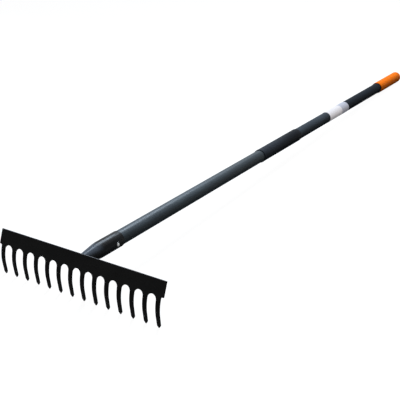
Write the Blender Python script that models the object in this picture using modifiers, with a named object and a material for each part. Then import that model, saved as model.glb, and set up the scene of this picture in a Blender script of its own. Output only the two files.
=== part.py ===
# A level-head garden rake: a stamped steel bar with curved tines, welded to a
# drawn-down socket on a two-part tube handle with a moulded grip on its end.
# Sizes are in metres. The rake is modelled along its handle and then set down
# as it lies on the ground, on the points of its tines and the end of its grip.

import math

import bmesh
import bpy
from mathutils import Vector

# The head: one piece of sheet steel, cut flat and then bent
HEAD_WIDTH = 0.360
BAR_HEIGHT = 0.028
SHEET = 0.0025
SHEET_EDGE = 0.0003            # chamfer that the press leaves round the outline
HEAD_LEAN = math.radians(19.5)  # the bar's top edge leans towards the handle
CORNER_RADIUS = 0.0012
END_STEP = 0.00565             # the bar reaches this far past the outermost tine
STEP_RADIUS = 0.0028           # the fillet in the corner of that step

# The tines, measured along the sheet before it is bent
TINE_COUNT = 14
TINE_LENGTH = 0.0592           # below the bar's lower edge
TINE_ROOT_WIDTH = 0.0081
TINE_END_WIDTH = 0.0069
POINT_LENGTH = 0.0045
POINT_WIDTH = 0.0020           # the points are blunt
GULLET_RISE = 0.0013           # the arch between two tines bites into the bar
TINE_BEND = math.radians(28.8)
TINE_BEND_LENGTH = 0.0370

# The socket, which the bar's back is welded to
AXIS_DROP = 0.0149             # the handle's axis below the bar's top edge
SOCKET_WALL = 0.0010
SOCKET_STRAIGHT = 0.0580
SOCKET_TAPER = 0.0480
SOCKET_NOSE_OD = 0.0172
SOCKET_SHOULDER = 0.0070       # the soft turn from the straight part into the taper
SOCKET_RIM = 0.0004            # chamfer on the open rim
WELD_RADIUS = 0.0020
WELD_SINK = 0.0005             # how far the bead's centre lies off the corner

# The rivet that pins the lower tube in the socket
RIVET_FROM_RIM = 0.0200
RIVET_SHANK_OD = 0.0048
RIVET_HEAD_OD = 0.0080
RIVET_HEAD_RISE = 0.0018
RIVET_HEAD_EDGE = 0.0003

# The handle's two tubes and the spigot that joins them
TUBE_OD = 0.0280
TUBE_WALL = 0.0012
TUBE_JOINT_GAP = 0.0004
LOWER_TUBE_SHOWN = 0.5305      # from the socket's rim to the sleeve
SPIGOT_LENGTH = 0.1600
SPIGOT_WALL = 0.0015
PIN_OD = 0.0040
PIN_WALL = 0.0008
PIN_SLOT = math.radians(40)
PIN_SHORT = 0.0004             # each pin end lies this far inside the tube's skin
PIN_FROM_END = 0.0180          # from the spigot's end to the pin's axis

# The sleeve over the joint
SLEEVE_LENGTH = 0.1880
SLEEVE_NEAR_WALL = 0.0010
SLEEVE_FAR_WALL = 0.0013
SLEEVE_LIP = 0.0003            # the near rim stands proud by this much
SLEEVE_LIP_LENGTH = 0.0040
SLEEVE_EDGE = 0.0004

# The upper tube's wrap and grip
WRAP_FROM_SLEEVE = 0.1755
WRAP_LENGTH = 0.1200
WRAP_THICKNESS = 0.0003
GRIP_FROM_WRAP = 0.2405
GRIP_LENGTH = 0.1650
GRIP_WALL = 0.0015
GRIP_END_WALL = 0.0060
GRIP_NOSE_LENGTH = 0.0080
GRIP_NOSE_DEPTH = 0.0100
GRIP_LIP = 0.0006

# Clearances
FIT_GAP = 0.0002               # round a tube, a pin or a shank
REST_GAP = 0.0003              # where a piece rests on its neighbour

# Facets
TUBE_SIDES = 48
SMALL_SIDES = 24
ARCH_STEPS = 14
BEND_STEPS = 9
SHOULDER_STEPS = 4
STEP_STEPS = 4
CUTTER_MARGIN = 0.010

# Sizes that follow from those above
TINE_PITCH = (HEAD_WIDTH - 2 * END_STEP - TINE_ROOT_WIDTH) / (TINE_COUNT - 1)
TUBE_RADIUS = TUBE_OD / 2
TUBE_BORE = TUBE_RADIUS - TUBE_WALL
OVER_TUBE = TUBE_RADIUS + FIT_GAP
SOCKET_RADIUS = OVER_TUBE + SOCKET_WALL
SOCKET_LENGTH = SOCKET_TAPER + SOCKET_STRAIGHT
RIVET_STATION = SOCKET_LENGTH - RIVET_FROM_RIM
SLEEVE_START = SOCKET_LENGTH + LOWER_TUBE_SHOWN
JOINT_STATION = SLEEVE_START + SLEEVE_LENGTH / 2
WRAP_START = SLEEVE_START + SLEEVE_LENGTH + WRAP_FROM_SLEEVE
GRIP_START = WRAP_START + WRAP_LENGTH + GRIP_FROM_WRAP
GRIP_RADIUS = OVER_TUBE + GRIP_WALL
GRIP_END = GRIP_START + GRIP_LENGTH
HEAD_DOWN = Vector((0, -math.sin(HEAD_LEAN), -math.cos(HEAD_LEAN)))
HEAD_BACK = Vector((0, math.cos(HEAD_LEAN), -math.sin(HEAD_LEAN)))
BAR_TOP = Vector((0, 0, AXIS_DROP))

PARTS = "garden_rake"
CUTTERS = "cutters"


# Scene helpers

def clear_scene():
    for obj in list(bpy.data.objects):
        bpy.data.objects.remove(obj, do_unlink=True)


def new_collection(name):
    found = bpy.data.collections.get(name) or bpy.data.collections.new(name)
    if name not in bpy.context.scene.collection.children:
        bpy.context.scene.collection.children.link(found)
    return found


def paint(obj, colour, roughness, metallic):
    material = bpy.data.materials.new(obj.name + "_finish")
    material.use_nodes = True
    shader = material.node_tree.nodes["Principled BSDF"]
    shader.inputs["Base Color"].default_value = (*colour, 1)
    shader.inputs["Roughness"].default_value = roughness
    shader.inputs["Metallic"].default_value = metallic
    obj.data.materials.append(material)


def add_object(name, data, collection, stance):
    obj = bpy.data.objects.new(name, data)
    bpy.data.collections[collection].objects.link(obj)
    obj.parent = stance
    return obj


def as_cutter(obj):
    obj.hide_render = True
    obj.display_type = "WIRE"
    return obj


def cut(obj, cutter):
    modifier = obj.modifiers.new("cut_" + cutter.name, "BOOLEAN")
    modifier.operation = "DIFFERENCE"
    modifier.solver = "EXACT"
    modifier.object = cutter


def smooth(mesh):
    mesh.shade_smooth()
    mesh.set_sharp_from_angle(angle=math.radians(35))


# Turned shapes: a profile of (radius, station) points, its outer side first,
# from the grip's end of the handle towards the head

ALONG_HANDLE = (-math.pi / 2, 0, 0)
ACROSS_HANDLE = (0, math.pi / 2, 0)


def turned(name, profile, stance, closed=True, sides=TUBE_SIDES, rotation=ALONG_HANDLE,
           collection=PARTS):
    mesh = bpy.data.meshes.new(name)
    count = len(profile)
    edges = [(i, i + 1) for i in range(count - 1)]
    if closed:
        edges.append((count - 1, 0))
    mesh.from_pydata([(radius, 0, station) for radius, station in profile], edges, [])
    obj = add_object(name, mesh, collection, stance)
    obj.rotation_euler = rotation
    screw = obj.modifiers.new("turn", "SCREW")
    screw.angle = math.tau
    screw.steps = sides
    screw.render_steps = sides
    screw.use_merge_vertices = True
    screw.merge_threshold = 0.00002
    screw.use_smooth_shade = True
    return obj


def pipe_profile(radius, bore, start, end):
    return [(radius, end), (radius, start), (bore, start), (bore, end)]


def corner(centre, across, along, start, stop, steps):
    points = []
    for i in range(steps + 1):
        angle = start + (stop - start) * i / steps
        points.append((centre[0] + across * math.cos(angle), centre[1] + along * math.sin(angle)))
    return points


def cross_cutter(name, diameter, station, length, stance):
    bpy.ops.mesh.primitive_cylinder_add(vertices=SMALL_SIDES, radius=diameter / 2, depth=length,
                                        location=(0, station, 0), rotation=ACROSS_HANDLE)
    cutter = bpy.context.object
    cutter.name = name
    for owner in list(cutter.users_collection):
        owner.objects.unlink(cutter)
    bpy.data.collections[CUTTERS].objects.link(cutter)
    cutter.parent = stance
    return as_cutter(cutter)


# The head

def bend_station(distance):
    """Where a point of the flat sheet, this far below the bar's top edge, goes on the front face,
    and how far the sheet has turned back there."""
    below = distance - BAR_HEIGHT
    if below <= 0:
        return BAR_TOP + HEAD_DOWN * distance, 0.0
    bend_radius = TINE_BEND_LENGTH / TINE_BEND
    turn = min(below / bend_radius, TINE_BEND)
    straight = max(below - TINE_BEND_LENGTH, 0)
    down = BAR_HEIGHT + bend_radius * math.sin(turn) + straight * math.cos(turn)
    back = bend_radius * (1 - math.cos(turn)) + straight * math.sin(turn)
    return BAR_TOP + HEAD_DOWN * down + HEAD_BACK * back, turn


def bent(x, distance, depth):
    place, turn = bend_station(distance)
    through = HEAD_BACK * math.cos(turn) - HEAD_DOWN * math.sin(turn)
    place = place + through * depth
    return Vector((x, place.y, place.z))


def tine_side(centre, side):
    """One edge of a tine, from the arch down to its blunt point."""
    tip = BAR_HEIGHT + TINE_LENGTH
    return [(centre + side * TINE_END_WIDTH / 2, tip - POINT_LENGTH),
            (centre + side * POINT_WIDTH / 2, tip)]


def gullet(centre):
    """The round arch between two tines, from right to left."""
    radius = (TINE_PITCH - TINE_ROOT_WIDTH) / 2
    spring = BAR_HEIGHT - GULLET_RISE + radius
    return [(centre + radius * math.cos(angle), spring - radius * math.sin(angle))
            for angle in (math.pi * i / ARCH_STEPS for i in range(ARCH_STEPS + 1))]


def end_step(side):
    """The bar's outer end and its rounded step to the outermost tine, from the top edge down."""
    end = side * HEAD_WIDTH / 2
    tine_edge = end - side * END_STEP
    radius = min(STEP_RADIUS, END_STEP)
    points = [(end - side * CORNER_RADIUS, 0.0), (end, CORNER_RADIUS), (end, BAR_HEIGHT)]
    for angle in (math.pi / 2 * i / STEP_STEPS for i in range(STEP_STEPS + 1)):
        points.append((tine_edge + side * radius * (1 - math.sin(angle)),
                       BAR_HEIGHT + radius * (1 - math.cos(angle))))
    return points


def head_outline():
    """The flat sheet's outline, as (across, distance below the top edge)."""
    centres = [(i - (TINE_COUNT - 1) / 2) * TINE_PITCH for i in range(TINE_COUNT)]
    points = end_step(1)
    for i in reversed(range(TINE_COUNT)):
        points += tine_side(centres[i], 1)
        points += reversed(tine_side(centres[i], -1))
        if i:
            points += gullet(centres[i] - TINE_PITCH / 2)
    return points + list(reversed(end_step(-1)))


def flat_sheet():
    """The outline as a filled curve, made a mesh: X across, Y up the sheet, Z through it."""
    curve = bpy.data.curves.new("head_sheet", "CURVE")
    curve.dimensions = "2D"
    curve.fill_mode = "BOTH"
    curve.extrude = SHEET / 2 - SHEET_EDGE
    curve.bevel_depth = SHEET_EDGE
    curve.bevel_resolution = 0
    curve.offset = -SHEET_EDGE
    outline = head_outline()
    spline = curve.splines.new("POLY")
    spline.points.add(len(outline) - 1)
    for point, (x, distance) in zip(spline.points, outline):
        point.co = (x, -distance, 0, 1)
    spline.use_cyclic_u = True
    obj = bpy.data.objects.new("head_sheet", curve)
    bpy.data.collections[CUTTERS].objects.link(obj)
    bpy.context.view_layer.update()
    mesh = bpy.data.meshes.new_from_object(obj.evaluated_get(bpy.context.evaluated_depsgraph_get()))
    bpy.data.objects.remove(obj, do_unlink=True)
    return mesh


def rake_head(stance):
    sheet = bmesh.new()
    sheet.from_mesh(flat_sheet())
    bmesh.ops.remove_doubles(sheet, verts=sheet.verts, dist=0.00001)
    for step in range(BEND_STEPS + 1):
        level = BAR_HEIGHT + TINE_BEND_LENGTH * step / BEND_STEPS
        bmesh.ops.bisect_plane(sheet, geom=sheet.verts[:] + sheet.edges[:] + sheet.faces[:],
                               dist=0.000001, plane_co=(0, -level, 0), plane_no=(0, 1, 0))
    for vert in sheet.verts:
        x, y, z = vert.co
        vert.co = bent(x, -y, SHEET / 2 + z)
    sheet.normal_update()
    bmesh.ops.recalc_face_normals(sheet, faces=sheet.faces)
    mesh = bpy.data.meshes.new("rake_head")
    sheet.to_mesh(mesh)
    sheet.free()
    smooth(mesh)
    head = add_object("rake_head", mesh, PARTS, stance)
    paint(head, (0.009, 0.009, 0.010), 0.45, 0.3)
    return head


def behind_bar_cutter(stance):
    """A block that fills everything in front of the bar's back face, less a small gap."""
    size = 2 * (BAR_HEIGHT + SOCKET_RADIUS) + CUTTER_MARGIN
    bpy.ops.mesh.primitive_cube_add(size=size)
    block = bpy.context.object
    block.name = "bar_side"
    for owner in list(block.users_collection):
        owner.objects.unlink(block)
    bpy.data.collections[CUTTERS].objects.link(block)
    block.parent = stance
    block.rotation_euler = (-HEAD_LEAN, 0, 0)
    block.location = back_of_bar() - HEAD_BACK * (size / 2 - REST_GAP)
    return as_cutter(block)


def back_of_bar():
    """The point of the bar's back face that the handle's axis runs into."""
    station = (SHEET - math.sin(HEAD_LEAN) * AXIS_DROP) / math.cos(HEAD_LEAN)
    return Vector((0, station, 0))


# The socket

def cone_radius(station, offset=0.0):
    """The socket's outer radius along its drawn-down nose."""
    nose = SOCKET_NOSE_OD / 2
    return nose + (SOCKET_RADIUS - nose) * station / SOCKET_TAPER + offset


def shoulder(offset):
    """The soft turn at the top of the taper, as an arc of a parabola, from the rim's side down."""
    first = (SOCKET_RADIUS + offset, SOCKET_TAPER + SOCKET_SHOULDER)
    turn = (SOCKET_RADIUS + offset, SOCKET_TAPER)
    last = (cone_radius(SOCKET_TAPER - SOCKET_SHOULDER, offset), SOCKET_TAPER - SOCKET_SHOULDER)
    points = []
    for t in (i / SHOULDER_STEPS for i in range(SHOULDER_STEPS + 1)):
        weights = ((1 - t) ** 2, 2 * t * (1 - t), t ** 2)
        points.append(tuple(sum(w * p[axis] for w, p in zip(weights, (first, turn, last)))
                            for axis in (0, 1)))
    return points


def head_socket(stance, bar_side, rivet_hole):
    nose = back_of_bar().y - CUTTER_MARGIN
    profile = [
        (SOCKET_RADIUS - SOCKET_RIM, SOCKET_LENGTH),
        (SOCKET_RADIUS, SOCKET_LENGTH - SOCKET_RIM),
        *shoulder(0),
        (cone_radius(nose), nose),
        (cone_radius(nose, -SOCKET_WALL), nose),
        *reversed(shoulder(-SOCKET_WALL)),
        (OVER_TUBE, SOCKET_LENGTH),
    ]
    socket = turned("head_socket", profile, stance)
    cut(socket, bar_side)
    cut(socket, rivet_hole)
    paint(socket, (0.012, 0.012, 0.014), 0.4, 0.3)
    return socket


def socket_core_cutter(stance):
    """The socket's nose with its gap, to trim the weld bead."""
    nose = back_of_bar().y - CUTTER_MARGIN
    profile = [
        (0, SOCKET_TAPER),
        (cone_radius(SOCKET_TAPER, REST_GAP), SOCKET_TAPER),
        (cone_radius(nose, REST_GAP), nose),
        (0, nose),
    ]
    return as_cutter(turned("socket_core", profile, stance, closed=False, collection=CUTTERS))


def socket_weld(stance, bar_side, socket_core):
    """A bead in the corner between the socket's nose and the bar's back."""
    at = back_of_bar()
    bpy.ops.mesh.primitive_torus_add(major_radius=cone_radius(at.y) + WELD_SINK,
                                     minor_radius=WELD_RADIUS,
                                     major_segments=TUBE_SIDES, minor_segments=12)
    weld = bpy.context.object
    weld.name = "socket_weld"
    weld.data.name = "socket_weld"
    stretch = 1 / math.cos(HEAD_LEAN)
    for vert in weld.data.vertices:
        vert.co.y *= stretch
    for owner in list(weld.users_collection):
        owner.objects.unlink(weld)
    bpy.data.collections[PARTS].objects.link(weld)
    weld.parent = stance
    weld.rotation_euler = (-math.pi / 2 - HEAD_LEAN, 0, 0)
    weld.location = at + HEAD_BACK * WELD_SINK
    cut(weld, bar_side)
    cut(weld, socket_core)
    smooth(weld.data)
    paint(weld, (0.012, 0.012, 0.014), 0.5, 0.3)
    return weld


def socket_rivet(stance):
    """One rivet right through socket and tube, with a domed head on each side."""
    seat = SOCKET_RADIUS + REST_GAP
    head = RIVET_HEAD_OD / 2
    shank = RIVET_SHANK_OD / 2
    dome = corner((0, seat + RIVET_HEAD_EDGE), head, RIVET_HEAD_RISE - RIVET_HEAD_EDGE,
                  math.pi / 2, 0, 6)
    upper = [(0, dome[0][1])] + dome[1:] + [(head, seat), (shank, seat)]
    lower = [(radius, -station) for radius, station in reversed(upper)]
    rivet = turned("socket_rivet", upper + lower, stance, closed=False, sides=SMALL_SIDES,
                   rotation=ACROSS_HANDLE)
    rivet.location = (0, RIVET_STATION, 0)
    paint(rivet, (0.75, 0.75, 0.76), 0.25, 1.0)
    return rivet


# The handle

def lower_tube(stance, rivet_hole, pin_hole):
    start = SOCKET_TAPER + SOCKET_SHOULDER + REST_GAP
    end = JOINT_STATION - TUBE_JOINT_GAP / 2
    tube = turned("lower_tube", pipe_profile(TUBE_RADIUS, TUBE_BORE, start, end), stance)
    cut(tube, rivet_hole)
    cut(tube, pin_hole)
    paint(tube, (0.045, 0.062, 0.078), 0.35, 0.6)
    return tube


def upper_tube(stance, pin_hole):
    start = JOINT_STATION + TUBE_JOINT_GAP / 2
    end = GRIP_END - GRIP_END_WALL - REST_GAP
    tube = turned("upper_tube", pipe_profile(TUBE_RADIUS, TUBE_BORE, start, end), stance)
    cut(tube, pin_hole)
    paint(tube, (0.030, 0.038, 0.046), 0.4, 0.5)
    return tube


def joint_spigot(stance, pin_holes):
    radius = TUBE_BORE - FIT_GAP
    start = JOINT_STATION - SPIGOT_LENGTH / 2
    end = JOINT_STATION + SPIGOT_LENGTH / 2
    spigot = turned("joint_spigot", pipe_profile(radius, radius - SPIGOT_WALL, start, end), stance)
    for hole in pin_holes:
        cut(spigot, hole)
    paint(spigot, (0.55, 0.56, 0.58), 0.35, 1.0)
    return spigot


def pin_station(side):
    return JOINT_STATION + side * (SPIGOT_LENGTH / 2 - PIN_FROM_END)


def spring_pin(name, side, stance):
    """A slotted pin across the tube and the spigot, its ends under the sleeve."""
    curve = bpy.data.curves.new(name, "CURVE")
    curve.dimensions = "2D"
    curve.fill_mode = "BOTH"
    curve.extrude = TUBE_RADIUS - PIN_SHORT
    steps = SMALL_SIDES
    outer = PIN_OD / 2
    angles = [PIN_SLOT / 2 + (math.tau - PIN_SLOT) * i / steps for i in range(steps + 1)]
    outline = [(outer * math.cos(a), outer * math.sin(a)) for a in angles]
    inner = outer - PIN_WALL
    outline += [(inner * math.cos(a), inner * math.sin(a)) for a in reversed(angles)]
    spline = curve.splines.new("POLY")
    spline.points.add(len(outline) - 1)
    for point, (x, y) in zip(spline.points, outline):
        point.co = (x, y, 0, 1)
    spline.use_cyclic_u = True
    pin = add_object(name, curve, PARTS, stance)
    pin.rotation_euler = ACROSS_HANDLE
    pin.location = (0, pin_station(side), 0)
    paint(pin, (0.45, 0.46, 0.48), 0.3, 1.0)
    return pin


def joint_sleeve(stance):
    """A thin moulded sleeve over the joint, a little wider at the grip's end, with a lip."""
    end = SLEEVE_START + SLEEVE_LENGTH
    near = OVER_TUBE + SLEEVE_NEAR_WALL
    far = OVER_TUBE + SLEEVE_FAR_WALL
    lip = SLEEVE_START + SLEEVE_LIP_LENGTH
    profile = [
        (far - SLEEVE_EDGE, end),
        (far, end - SLEEVE_EDGE),
        (near, lip + SLEEVE_LIP),
        (near + SLEEVE_LIP, lip),
        (near + SLEEVE_LIP, SLEEVE_START + SLEEVE_EDGE),
        (near + SLEEVE_LIP - SLEEVE_EDGE, SLEEVE_START),
        (OVER_TUBE, SLEEVE_START),
        (OVER_TUBE, end),
    ]
    sleeve = turned("joint_sleeve", profile, stance)
    paint(sleeve, (0.022, 0.025, 0.030), 0.5, 0.0)
    return sleeve


def tube_wrap(stance):
    """The bare paper band stuck round the upper tube."""
    inner = TUBE_RADIUS + FIT_GAP
    profile = pipe_profile(inner + WRAP_THICKNESS, inner, WRAP_START, WRAP_START + WRAP_LENGTH)
    wrap = turned("tube_wrap", profile, stance)
    paint(wrap, (0.80, 0.81, 0.84), 0.5, 0.0)
    return wrap


def end_grip(stance):
    """A moulded grip pushed over the tube's end, closed by a rounded nose."""
    nose = corner((GRIP_RADIUS - GRIP_NOSE_DEPTH, GRIP_END - GRIP_NOSE_LENGTH),
                  GRIP_NOSE_DEPTH, GRIP_NOSE_LENGTH, math.pi / 2, 0, 8)
    rim = corner((GRIP_RADIUS - GRIP_LIP, GRIP_START + GRIP_LIP),
                 GRIP_LIP, GRIP_LIP, 0, -math.pi / 2, 3)
    floor = GRIP_END - GRIP_END_WALL
    profile = [(0, GRIP_END)] + nose + rim + [(OVER_TUBE, GRIP_START), (OVER_TUBE, floor), (0, floor)]
    grip = turned("end_grip", profile, stance, closed=False)
    paint(grip, (0.75, 0.17, 0.02), 0.5, 0.0)
    return grip


# The rake as it lies on the ground

def set_down(stance):
    """Turns the rake about X until the tine points and the grip's end share the ground, and
    puts the middle of its length over the origin."""
    tip = bent(0, BAR_HEIGHT + TINE_LENGTH, 0)
    grip_station = GRIP_END - GRIP_NOSE_LENGTH
    slope = math.atan2(-tip.z - GRIP_RADIUS, grip_station - tip.y)
    lift = tip.y * math.sin(slope) - tip.z * math.cos(slope)
    levels = [BAR_HEIGHT + TINE_BEND_LENGTH * i / BEND_STEPS for i in range(BEND_STEPS + 1)]
    fronts = [bent(0, level, 0) for level in levels]
    front = min(p.y * math.cos(slope) + p.z * math.sin(slope) for p in fronts)
    nose_radius = GRIP_RADIUS - GRIP_NOSE_DEPTH
    back = GRIP_END * math.cos(slope) + nose_radius * math.sin(slope)
    stance.rotation_euler = (-slope, 0, 0)
    stance.location = (0, -(front + back) / 2, lift)


def build():
    clear_scene()
    new_collection(PARTS)
    new_collection(CUTTERS)
    stance = bpy.data.objects.new("stance", None)
    bpy.data.collections[CUTTERS].objects.link(stance)

    bar_side = behind_bar_cutter(stance)
    socket_core = socket_core_cutter(stance)
    across = 2 * SOCKET_RADIUS + CUTTER_MARGIN
    rivet_hole = cross_cutter("rivet_hole", RIVET_SHANK_OD + 2 * FIT_GAP, RIVET_STATION, across, stance)
    pin_holes = [cross_cutter(name, PIN_OD + 2 * FIT_GAP, pin_station(side), across, stance)
                 for name, side in (("lower_pin_hole", -1), ("upper_pin_hole", 1))]

    rake_head(stance)
    head_socket(stance, bar_side, rivet_hole)
    socket_weld(stance, bar_side, socket_core)
    socket_rivet(stance)
    lower_tube(stance, rivet_hole, pin_holes[0])
    upper_tube(stance, pin_holes[1])
    joint_spigot(stance, pin_holes)
    spring_pin("lower_joint_pin", -1, stance)
    spring_pin("upper_joint_pin", 1, stance)
    joint_sleeve(stance)
    tube_wrap(stance)
    end_grip(stance)
    set_down(stance)
    bpy.context.view_layer.update()


build()
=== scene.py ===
# %% [markdown]
# # A garden rake, dressed for its portrait
# The rake has a flat steel bar with curved tines, a drawn-down socket, a long tube handle in two
# lengths, a sleeve over their joint, a white film and an orange grip. The measured model comes
# first. It is the frame that every finer piece is built around, so it is loaded and its box is
# noted before anything else is made.

# %% Load the measured model
import math

import bmesh
import bpy
from mathutils import Matrix, Vector


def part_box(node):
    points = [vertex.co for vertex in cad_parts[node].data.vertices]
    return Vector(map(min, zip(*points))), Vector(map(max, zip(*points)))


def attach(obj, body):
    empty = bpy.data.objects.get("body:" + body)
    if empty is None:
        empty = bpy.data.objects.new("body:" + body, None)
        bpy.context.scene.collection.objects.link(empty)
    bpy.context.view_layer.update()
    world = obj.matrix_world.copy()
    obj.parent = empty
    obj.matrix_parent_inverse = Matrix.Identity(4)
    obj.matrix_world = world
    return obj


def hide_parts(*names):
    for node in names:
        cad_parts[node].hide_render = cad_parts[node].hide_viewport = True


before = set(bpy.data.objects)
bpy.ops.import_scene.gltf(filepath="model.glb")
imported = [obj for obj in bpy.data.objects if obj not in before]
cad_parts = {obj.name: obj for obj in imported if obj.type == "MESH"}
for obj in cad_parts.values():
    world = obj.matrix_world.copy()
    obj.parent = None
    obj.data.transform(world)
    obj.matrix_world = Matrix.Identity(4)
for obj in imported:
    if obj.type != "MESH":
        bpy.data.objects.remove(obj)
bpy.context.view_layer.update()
scene = bpy.context.scene
print("nodes:", ", ".join(sorted(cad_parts)))

# %% [markdown]
# The rake lies on the points of its tines and the end of its grip, so its handle slopes a little.
# It is easier to model along a straight handle: X along the bar, Y from the head to the grip, Z
# square to both, with zero on the handle's axis. One matrix then lays each finished mesh down,
# and the object itself stays at the world's origin. The matrix is read from the measured model:
# the box round a straight tube has its middle on the handle's axis, and so has the rivet's box,
# which tells where along the axis zero lies.

# %% How the rake lies
RIVET_STATION = 0.0860


def middle_of(node):
    low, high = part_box(node)
    return (low + high) / 2


ALONG = (middle_of("upper_tube") - middle_of("lower_tube")).normalized()
SLOPE = math.atan2(-ALONG.z, ALONG.y)
REST_POINT = middle_of("socket_rivet") - ALONG * RIVET_STATION
LAY_DOWN = Matrix.Translation(REST_POINT) @ Matrix.Rotation(-SLOPE, 4, "X")
print("the handle slopes by", round(math.degrees(SLOPE), 2), "degrees")

# %% [markdown]
# ## The camera
# The photograph looks down along the handle from the head's right. The camera is written in the
# handle's own axes too, as its place, its right and its down, and laid down with the same matrix.
# What it looks along follows from the other two. The lens is about twice as long as the sensor is
# wide, which is what the narrowing of the handle towards the grip asks for.

# %% The camera
EYE = Vector((0.84857, -0.96938, 0.65298))
SIGHT_RIGHT = Vector((0.84372, 0.53661, 0.01396))
SIGHT_DOWN = Vector((0.21953, -0.32120, -0.92122))
LENS_LENGTH, SENSOR_WIDTH = 75.27, 36


def place_camera():
    right = SIGHT_RIGHT.normalized()
    up = -(SIGHT_DOWN - right * SIGHT_DOWN.dot(right)).normalized()
    turned = Matrix((right, up, right.cross(up))).transposed().to_4x4()
    lens = bpy.data.cameras.new("portrait")
    lens.lens = LENS_LENGTH
    lens.sensor_width = SENSOR_WIDTH
    camera = bpy.data.objects.new("portrait", lens)
    camera.matrix_world = LAY_DOWN @ Matrix.Translation(EYE) @ turned
    scene.collection.objects.link(camera)
    scene.camera = camera
    return camera


camera = place_camera()
print("eye at", [round(v, 3) for v in camera.location])

# %% [markdown]
# ## The floor
# A plain pale floor keeps the soft shadow. What the eye sees of it, straight or mirrored in the
# satin coats, is lifted to white by a little glow that lights nothing. More light would make the
# floor white too, but it would bleach the rake. A material is a tree of nodes, so two helpers come
# first: one makes a node with its inputs, and one tells the rays of the eye from those of light.

# %% Helpers for nodes
def wire(tree, kind, inputs=None, **settings):
    """One node, its settings, and its inputs: a socket is linked and a value is written."""
    made = tree.nodes.new("ShaderNode" + kind)
    for key, value in settings.items():
        setattr(made, key, value)
    for key, value in (inputs or {}).items():
        if isinstance(value, bpy.types.NodeSocket):
            tree.links.new(value, made.inputs[key])
        else:
            made.inputs[key].default_value = value
    return made


def where_seen(tree, otherwise, strength):
    """This strength where the eye, a mirror or a glass looks, and the other one for the light."""
    rays = wire(tree, "LightPath")
    seen = rays.outputs["Is Camera Ray"]
    for kind in ("Is Glossy Ray", "Is Transmission Ray"):
        seen = wire(tree, "Math", {0: seen, 1: rays.outputs[kind]}, operation="MAXIMUM").outputs[0]
    return wire(tree, "MapRange", {"Value": seen, "To Min": otherwise,
                                   "To Max": strength}).outputs[0]


# %% Pale floor
FLOOR_GREY, FLOOR_ROUGH, FLOOR_GLOW = 0.10, 0.9, 0.96
FLOOR_REACH = 9


def pale_floor():
    material = bpy.data.materials.new("pale_floor")
    material.use_nodes = True
    tree = material.node_tree
    plain = tree.nodes["Principled BSDF"]
    plain.inputs["Base Color"].default_value = (FLOOR_GREY, FLOOR_GREY, FLOOR_GREY, 1)
    plain.inputs["Roughness"].default_value = FLOOR_ROUGH
    plain.inputs["Specular IOR Level"].default_value = 0.0
    seen = where_seen(tree, otherwise=0, strength=FLOOR_GLOW)
    glow = wire(tree, "Emission", {"Color": (1, 1, 1, 1), "Strength": seen})
    both = wire(tree, "AddShader", {0: plain.outputs[0], 1: glow.outputs[0]})
    tree.links.new(both.outputs[0], tree.nodes["Material Output"].inputs["Surface"])
    return material


def lay_floor():
    sheet = bmesh.new()
    bmesh.ops.create_grid(sheet, x_segments=1, y_segments=1, size=FLOOR_REACH)
    mesh = bpy.data.meshes.new("floor")
    sheet.to_mesh(mesh)
    sheet.free()
    mesh.materials.append(pale_floor())
    floor = bpy.data.objects.new("floor", mesh)
    scene.collection.objects.link(floor)
    print("floor laid,", round(floor.dimensions.x, 1), "m across")


lay_floor()

# %% [markdown]
# ## The light
# Square panels give soft light, as in a studio, and each one has its task. The one behind the grip
# draws the long bright line down the tube and the socket. It looks level over the rake, so it
# gives the head the most. A small one high up lies as a sheen on the socket's drawn nose. Both are
# a cool white, as a window is. One ahead lifts the bar's front, and a wide weak one above softens
# the far half of the handle. The world fills in evenly from all round.

# %% Panels and fill
WHITE, COOL_WHITE = (1, 1, 1), (0.75, 0.87, 1.0)


def hang_panel(name, place, target, size, power, colour):
    lamp = bpy.data.lights.new(name, "AREA")
    lamp.shape = "SQUARE"
    lamp.size = size
    lamp.energy = power
    lamp.color = colour
    panel = bpy.data.objects.new(name, lamp)
    panel.location = place
    panel.rotation_euler = (Vector(target) - Vector(place)).to_track_quat("-Z", "Y").to_euler()
    scene.collection.objects.link(panel)


def fill_world(strength):
    """An even soft light from all round, which is seen as plain white."""
    world = bpy.data.worlds.new("studio")
    world.use_nodes = True
    tree = world.node_tree
    background = tree.nodes["Background"]
    background.inputs["Color"].default_value = (*WHITE, 1)
    tree.links.new(where_seen(tree, otherwise=strength, strength=1.0),
                   background.inputs["Strength"])
    scene.world = world


scene.view_settings.view_transform = "Standard"
fill_world(strength=0.06)
hang_panel("panel_behind", place=(-0.72, 1.15, 1.90), target=(-0.47, 0.18, 1.90),
           size=1.0, power=160, colour=COOL_WHITE)
hang_panel("panel_above", place=(0.7, 1.2, 1.6), target=(0, 1.2, 0),
           size=1.4, power=15, colour=WHITE)
hang_panel("panel_high", place=(-0.66, 0.75, 2.60), target=(0, -0.74, 0.08),
           size=0.5, power=34, colour=COOL_WHITE)
hang_panel("panel_ahead", place=(0, -3.3, 0.75), target=(0, -0.75, 0.05),
           size=1.0, power=12, colour=WHITE)

# %% [markdown]
# ## Finishes
# Each finish is made of nodes in real sizes. The texture place is turned back into the handle's
# own axes, so a pattern can follow the tube, and noise is asked for by the size of its grain.
# A picture of paint would be quicker, but it shows its pixels close by, and a seam where its
# edges meet.

# %% Start a finish and give it grain
GRAIN_ROUGHNESS = 0.55


def new_finish(name):
    material = bpy.data.materials.new(name)
    material.use_nodes = True
    tree = material.node_tree
    place = wire(tree, "Mapping", {
        "Vector": wire(tree, "TexCoord").outputs["Object"],
        "Location": REST_POINT,
        "Rotation": (-SLOPE, 0, 0),
    }, vector_type="TEXTURE")
    return material, tree, tree.nodes["Principled BSDF"], place.outputs["Vector"]


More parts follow.
